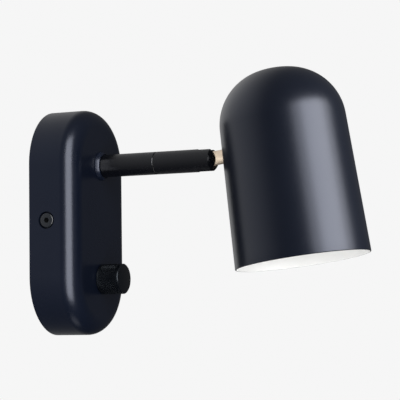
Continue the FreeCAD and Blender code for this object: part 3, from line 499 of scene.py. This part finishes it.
def make_knob():
    """Knob with a diamond knurl, a plain front band, a chamfer and the recess behind."""
    low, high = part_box("dimmer_knob")
    front, back = low.y, high.y
    middle = Vector((0, 0, (low.z + high.z) / 2))
    knurl_front = front + KNOB_FRONT_BAND
    length = back - knurl_front
    work = bmesh.new()
    bmesh.ops.create_cone(work, cap_ends=False, segments=KNURL_AROUND * KNURL_CUTS,
                          radius1=KNOB_RADIUS, radius2=KNOB_RADIUS, depth=length)
    upright = [edge for edge in work.edges
               if abs(edge.verts[0].co.z - edge.verts[1].co.z) > length / 2]
    bmesh.ops.subdivide_edges(work, edges=upright, cuts=KNURL_ROWS * KNURL_CUTS - 1,
                              use_grid_fill=True)
    for vert in work.verts:
        around = math.atan2(vert.co.y, vert.co.x) / (2 * math.pi) * KNURL_AROUND
        along = (vert.co.z / length + 0.5) * KNURL_ROWS
        rise = min(triangle_wave(around + along), triangle_wave(around - along))
        height = min(rise, KNURL_CREST) / KNURL_CREST
        from_end = min(along, KNURL_ROWS - along) / KNURL_CUTS
        edge_fade = min(1.0, KNURL_END_FADE * from_end + KNURL_END_HEIGHT)
        radius = KNOB_RADIUS - KNURL_DEPTH * (1 - height) * edge_fade
        flat = Vector((vert.co.x, vert.co.y)).normalized() * radius
        vert.co = (flat.x, flat.y, vert.co.z)
    along_arm = Matrix.Rotation(math.pi / 2, 4, "X")
    place = Matrix.Translation(middle + Vector((0, (knurl_front + back) / 2, 0))) @ along_arm
    bmesh.ops.transform(work, matrix=place, verts=work.verts[:])
    band = KNOB_RADIUS - KNURL_DEPTH
    outline = [
        (0, front), (KNOB_RADIUS - KNOB_CHAMFER - KNOB_EDGE_IN, front),
        (KNOB_RADIUS - KNOB_CHAMFER, front + KNOB_EDGE_BACK),
        (KNOB_RADIUS - KNOB_EDGE_SIDE, front + KNOB_CHAMFER),
        (KNOB_RADIUS, front + KNOB_CHAMFER + BAND_EDGE),
        (KNOB_RADIUS, knurl_front - BAND_BEVEL), (band, knurl_front),
    ]
    rear = [
        (band, back), (KNOB_RECESS_RADIUS, back), (KNOB_RECESS_RADIUS, back - KNOB_RECESS_DEPTH),
        (SHAFT_HOLE_RADIUS, back - KNOB_RECESS_DEPTH), (SHAFT_HOLE_RADIUS, front + KNOB_FACE_THICK),
        (0, front + KNOB_FACE_THICK),
    ]
    for line in (outline, rear):
        spun(work, [middle + Vector((radius, y, 0)) for radius, y in line], TURNED_STEPS, middle, (0, 1, 0))
    bmesh.ops.remove_doubles(work, verts=work.verts[:], dist=WELD)
    sharp_over(work, SHARP_ANGLE)
    return piece_from(work, "knurled_knob", "knob", [FINISH["knob_finish"]], "dimmer_knob")


# ---------------------------------------------------------------- cover screws
def only(items, kind):
    """The vertices, edges or faces among what an operator has made."""
    return [item for item in items if isinstance(item, kind)]


def loop_out(work, edges, radius, height):
    """Extrude a round loop of edges to another radius and height, and give the new loop."""
    made = bmesh.ops.extrude_edge_only(work, edges=edges)["geom"]
    for vert in only(made, bmesh.types.BMVert):
        share = radius / math.hypot(vert.co.x, vert.co.y)
        vert.co = (vert.co.x * share, vert.co.y * share, height)
    return only(made, bmesh.types.BMEdge)


def make_cover_screws():
    """Low round-edged heads with a hexagon socket, and their shanks, one in each side."""
    low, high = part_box("cover_screws")
    middle = (low + high) / 2
    work = bmesh.new()
    bmesh.ops.create_circle(work, cap_ends=False, segments=SOCKET_SIDES, radius=SOCKET_CORNER)
    bmesh.ops.subdivide_edges(work, edges=work.edges[:], cuts=HEAD_STEPS // SOCKET_SIDES - 1)
    socket_edge = work.edges[:]
    sunk = bmesh.ops.extrude_edge_only(work, edges=socket_edge)["geom"]
    bmesh.ops.translate(work, vec=(0, 0, -SOCKET_DEPTH), verts=only(sunk, bmesh.types.BMVert))
    bmesh.ops.contextual_create(work, geom=only(sunk, bmesh.types.BMEdge))
    flat = bmesh.ops.create_circle(work, cap_ends=False, segments=HEAD_STEPS, radius=HEAD_RADIUS - HEAD_ROUND)
    loop = list({edge for vert in flat["verts"] for edge in vert.link_edges})
    bmesh.ops.bridge_loops(work, edges=socket_edge + loop)
    for i in range(1, HEAD_ROUND_STEPS + 1):
        turn = math.pi / 2 * i / HEAD_ROUND_STEPS
        loop = loop_out(work, loop, HEAD_RADIUS - HEAD_ROUND * (1 - math.sin(turn)),
                        -HEAD_ROUND * (1 - math.cos(turn)))
    for radius, height in ((HEAD_RADIUS, -HEAD_HEIGHT), (SHANK_RADIUS, -HEAD_HEIGHT),
                           (SHANK_RADIUS, -HEAD_HEIGHT - SHANK_LENGTH)):
        loop = loop_out(work, loop, radius, height)
    bmesh.ops.contextual_create(work, geom=loop)
    # the socket's walls and floor take the near-black finish: painted shade in the recess
    for face in work.faces:
        centre = face.calc_center_median()
        in_reach = math.hypot(centre.x, centre.y) < SOCKET_CORNER
        face.material_index = 1 if in_reach and -SOCKET_DEPTH - WELD < centre.z < -WELD else 0
    outward = Matrix.Translation((high.x, middle.y, middle.z)) @ Matrix.Rotation(math.pi / 2, 4, "Y")
    bmesh.ops.transform(work, matrix=outward, verts=work.verts[:])
    far = bmesh.ops.duplicate(work, geom=work.verts[:] + work.edges[:] + work.faces[:])["geom"]
    to_middle = Matrix.Translation((-middle.x, 0, 0))
    mirror = to_middle.inverted() @ Matrix.Scale(-1, 4, (1, 0, 0)) @ to_middle
    bmesh.ops.transform(work, matrix=mirror, verts=only(far, bmesh.types.BMVert))
    sharp_over(work, SHARP_ANGLE)
    return piece_from(work, "socket_screws", "wall_part",
                      [FINISH["black_steel"], SOCKET_PAINTED_SHADE], "cover_screws")


# ---------------------------------------------------------------- arm collar
def make_collar():
    """Tapered collar between the cover and the arm, its edges broken."""
    low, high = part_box("arm_collar")
    front, back = low.y, high.y
    middle = Vector((0, 0, (low.z + high.z) / 2))
    outline = [
        (COLLAR_BORE, back), (COLLAR_BACK_RADIUS - COLLAR_EDGE, back),
        (COLLAR_BACK_RADIUS, back - COLLAR_EDGE),
        (COLLAR_FRONT_RADIUS, front + COLLAR_EDGE), (COLLAR_FRONT_RADIUS - COLLAR_EDGE, front),
        (GROOVE_OUTER, front), (GROOVE_OUTER, front + GROOVE_DEPTH),
        (GROOVE_INNER, front + GROOVE_DEPTH), (GROOVE_INNER, front),
        (COLLAR_BORE, front), (COLLAR_BORE, back),
    ]
    work = bmesh.new()
    spun(work, [middle + Vector((radius, y, 0)) for radius, y in outline], TURNED_STEPS, middle, (0, 1, 0))
    bmesh.ops.remove_doubles(work, verts=work.verts[:], dist=WELD)
    rounded = []
    for edge in work.edges:
        place = edge.verts[0].co - middle
        if (len(edge.link_faces) == 2 and edge.calc_face_angle() > math.radians(BROKEN_ANGLE)
                and math.hypot(place.x, place.z) > GROOVE_OUTER + COLLAR_EDGE / 2):
            rounded.append(edge)
    bmesh.ops.bevel(work, geom=rounded, offset=COLLAR_EDGE / 2, offset_type="OFFSET", segments=3,
                    profile=0.5, material=-1, affect="EDGES")
    sharp_over(work, SHARP_ANGLE)
    return piece_from(work, "tapered_collar", "wall_part",
                      [FINISH["cover_paint"]], "arm_collar")


make_shade()
make_knob()
screws = make_cover_screws()
collar = make_collar()


# ---------------------------------------------------------------- floor, light and view
BACKGROUND = 0.921                      # the pale ground, as a linear value
FLOOR_RADIUS = 0.22
FLOOR_BELOW = 0.9                       # under the lamp's lowest point
FLOOR_COLOUR = (0.86, 0.86, 0.86, 1)
FLOOR_ROUGHNESS = 0.9
REFLECTED_BEHIND = 0.95                 # what the paint mirrors from behind the lamp
REFLECTED_IN_FRONT = 0.10
PALE_FROM = 0.12                        # the direction's Y where the pale part begins
REFLECTED_ABOVE = 1.6                   # how much stronger that is overhead, and underfoot
REFLECTED_BELOW = 0.1
AROUND = 0.45                           # light from all round on matt surfaces
SOFTBOX_DISTANCE = 1.3


def make_floor():
    """Pale floor under the lamp: camera and mirrored rays see an even glow of the background's value, other
    rays its matt shading.
    """
    work = bmesh.new()
    bmesh.ops.create_circle(work, cap_ends=True, segments=96, radius=FLOOR_RADIUS)
    bmesh.ops.translate(work, vec=(0, 0, cad_low.z - FLOOR_BELOW), verts=work.verts[:])
    mesh = bpy.data.meshes.new("floor")
    work.to_mesh(mesh)
    work.free()
    floor = bpy.data.objects.new("floor", mesh)
    scene.collection.objects.link(floor)
    material, tree, shader = new_material("floor_pale")
    shader.inputs["Base Color"].default_value = FLOOR_COLOUR
    shader.inputs["Roughness"].default_value = FLOOR_ROUGHNESS
    glow = add(tree, "ShaderNodeEmission", Color=(BACKGROUND, BACKGROUND, BACKGROUND, 1), Strength=1.0)
    mix = tree.nodes.new("ShaderNodeMixShader")
    tree.links.new(seen_straight(tree), mix.inputs["Fac"])
    tree.links.new(shader.outputs["BSDF"], mix.inputs[1])
    tree.links.new(glow.outputs["Emission"], mix.inputs[2])
    tree.links.new(mix.outputs["Shader"], tree.nodes["Material Output"].inputs["Surface"])
    mesh.materials.append(material)


def seen_straight(tree):
    """1 for rays from the camera, and for those that metal and glass send on."""
    path = tree.nodes.new("ShaderNodeLightPath")
    total = math_node(tree, "MAXIMUM", path.outputs["Is Camera Ray"], path.outputs["Is Glossy Ray"])
    return math_node(tree, "MAXIMUM", total, path.outputs["Is Transmission Ray"])


def make_world():
    """Pale all round for the camera; for reflections it is pale behind the lamp and dim in front."""
    world = bpy.data.worlds.new("studio")
    scene.world = world
    world.use_nodes = True
    tree = world.node_tree
    ground = tree.nodes["Background"]
    way = tree.nodes.new("ShaderNodeSeparateXYZ")
    tree.links.new(tree.nodes.new("ShaderNodeTexCoord").outputs["Generated"], way.inputs["Vector"])
    behind = add(tree, "ShaderNodeMapRange", From_Min=PALE_FROM, From_Max=1.0,
                 To_Min=REFLECTED_IN_FRONT, To_Max=REFLECTED_BEHIND)
    behind.interpolation_type = "SMOOTHSTEP"
    tree.links.new(way.outputs["Y"], behind.inputs["Value"])
    path = tree.nodes.new("ShaderNodeLightPath")
    sent_on = math_node(tree, "MAXIMUM", path.outputs["Is Glossy Ray"], path.outputs["Is Transmission Ray"])
    upward = add(tree, "ShaderNodeMapRange", From_Min=-1.0, From_Max=1.0,
                 To_Min=REFLECTED_BELOW, To_Max=REFLECTED_ABOVE)
    tree.links.new(way.outputs["Z"], upward.inputs["Value"])
    around = math_node(tree, "MULTIPLY", behind.outputs["Result"], upward.outputs["Result"])
    reflected = math_node(tree, "MULTIPLY", around, sent_on)
    straight = math_node(tree, "MULTIPLY", path.outputs["Is Camera Ray"], BACKGROUND)
    shown = math_node(tree, "MAXIMUM", reflected, straight)
    seen = math_node(tree, "MAXIMUM", sent_on, path.outputs["Is Camera Ray"])
    other = math_node(tree, "SUBTRACT", 1.0, seen)
    fill = math_node(tree, "MULTIPLY", other, AROUND)
    tree.links.new(math_node(tree, "ADD", shown, fill), ground.inputs["Strength"])
    ground.inputs["Color"].default_value = (1, 1, 1, 1)


def softbox(name, azimuth, elevation, width, height, power, distance=SOFTBOX_DISTANCE, mirrored=True):
    """Area light aimed at the object's middle, from a direction given in degrees."""
    a, e = math.radians(azimuth), math.radians(elevation)
    way = Vector((math.sin(a) * math.cos(e), -math.cos(a) * math.cos(e), math.sin(e)))
    data = bpy.data.lights.new(name, "AREA")
    data.shape = "RECTANGLE"
    data.size, data.size_y = width, height
    data.energy = power
    box = bpy.data.objects.new(name, data)
    box.visible_glossy = mirrored
    scene.collection.objects.link(box)
    target = (cad_low + cad_high) / 2
    box.location = target + way * distance
    box.rotation_mode = "QUATERNION"
    box.rotation_quaternion = (-way).to_track_quat("-Z", "Y")
    return box


def shine_only_on(box, pieces, state="INCLUDE"):
    """Let a softbox light only some pieces, or with EXCLUDE all but these."""
    group = bpy.data.collections.new(box.name + "_lit")
    for piece in pieces:
        group.objects.link(piece)
    box.light_linking.receiver_collection = group
    for member in group.collection_objects:
        member.light_linking.link_state = state


make_floor()
make_world()
key = softbox("key", azimuth=-13, elevation=15, width=1.95, height=1.15, power=25.5)
key_heart = softbox("key_heart", azimuth=-12, elevation=17, width=1.0, height=0.95, power=14.5)
strip = softbox("strip", azimuth=-57, elevation=6, width=1.0, height=2.9, power=78)
stem_light = softbox("stem_light", azimuth=-70, elevation=-35, width=1.6, height=2.0, power=10.0)
softbox("fill_below", azimuth=-85, elevation=-60, width=0.8, height=0.8, power=9.0,
        distance=1.0, mirrored=False)
shine_only_on(key, [nodes["cover"]], "EXCLUDE")
shine_only_on(key_heart, [nodes["cover"]], "EXCLUDE")
shine_only_on(strip, [nodes["cover"], nodes["tilt_tongue"], screws, collar])
shine_only_on(stem_light, [nodes["tilt_tongue"]])

# the view: fitted to the outlines in the photograph
CAMERA_AZIMUTH = math.radians(-66.08)
CAMERA_ELEVATION = math.radians(-4.35)
CAMERA_ROLL = math.radians(-0.76)
CAMERA_DISTANCE = 1042.16 * MM
CAMERA_ACROSS = -32.13 * MM              # of the reference point from the view's middle
CAMERA_UP = -13.04 * MM
CAMERA_POINT = Vector((0, -70, 0)) * MM
PICTURE_WIDTH = 400
FOCAL_PIXELS = 1586.01
SENSOR = 36.0


def make_camera():
    """Camera at the viewing angle and distance that were fitted to the photograph."""
    a, e = CAMERA_AZIMUTH, CAMERA_ELEVATION
    back = Vector((math.sin(a) * math.cos(e), -math.cos(a) * math.cos(e), math.sin(e)))
    right = Vector((math.cos(a), math.sin(a), 0))
    up = back.cross(right)
    rolled_right = math.cos(CAMERA_ROLL) * right + math.sin(CAMERA_ROLL) * up
    rolled_up = math.cos(CAMERA_ROLL) * up - math.sin(CAMERA_ROLL) * right
    place = CAMERA_POINT - CAMERA_ACROSS * rolled_right - CAMERA_UP * rolled_up + CAMERA_DISTANCE * back
    data = bpy.data.cameras.new("view")
    data.sensor_width = SENSOR
    data.lens = FOCAL_PIXELS / PICTURE_WIDTH * SENSOR
    camera = bpy.data.objects.new("view", data)
    scene.collection.objects.link(camera)
    turned = Matrix((rolled_right, rolled_up, back)).transposed().to_4x4()
    camera.matrix_world = Matrix.Translation(place) @ turned
    scene.camera = camera


make_camera()
scene.view_settings.view_transform = "Standard"
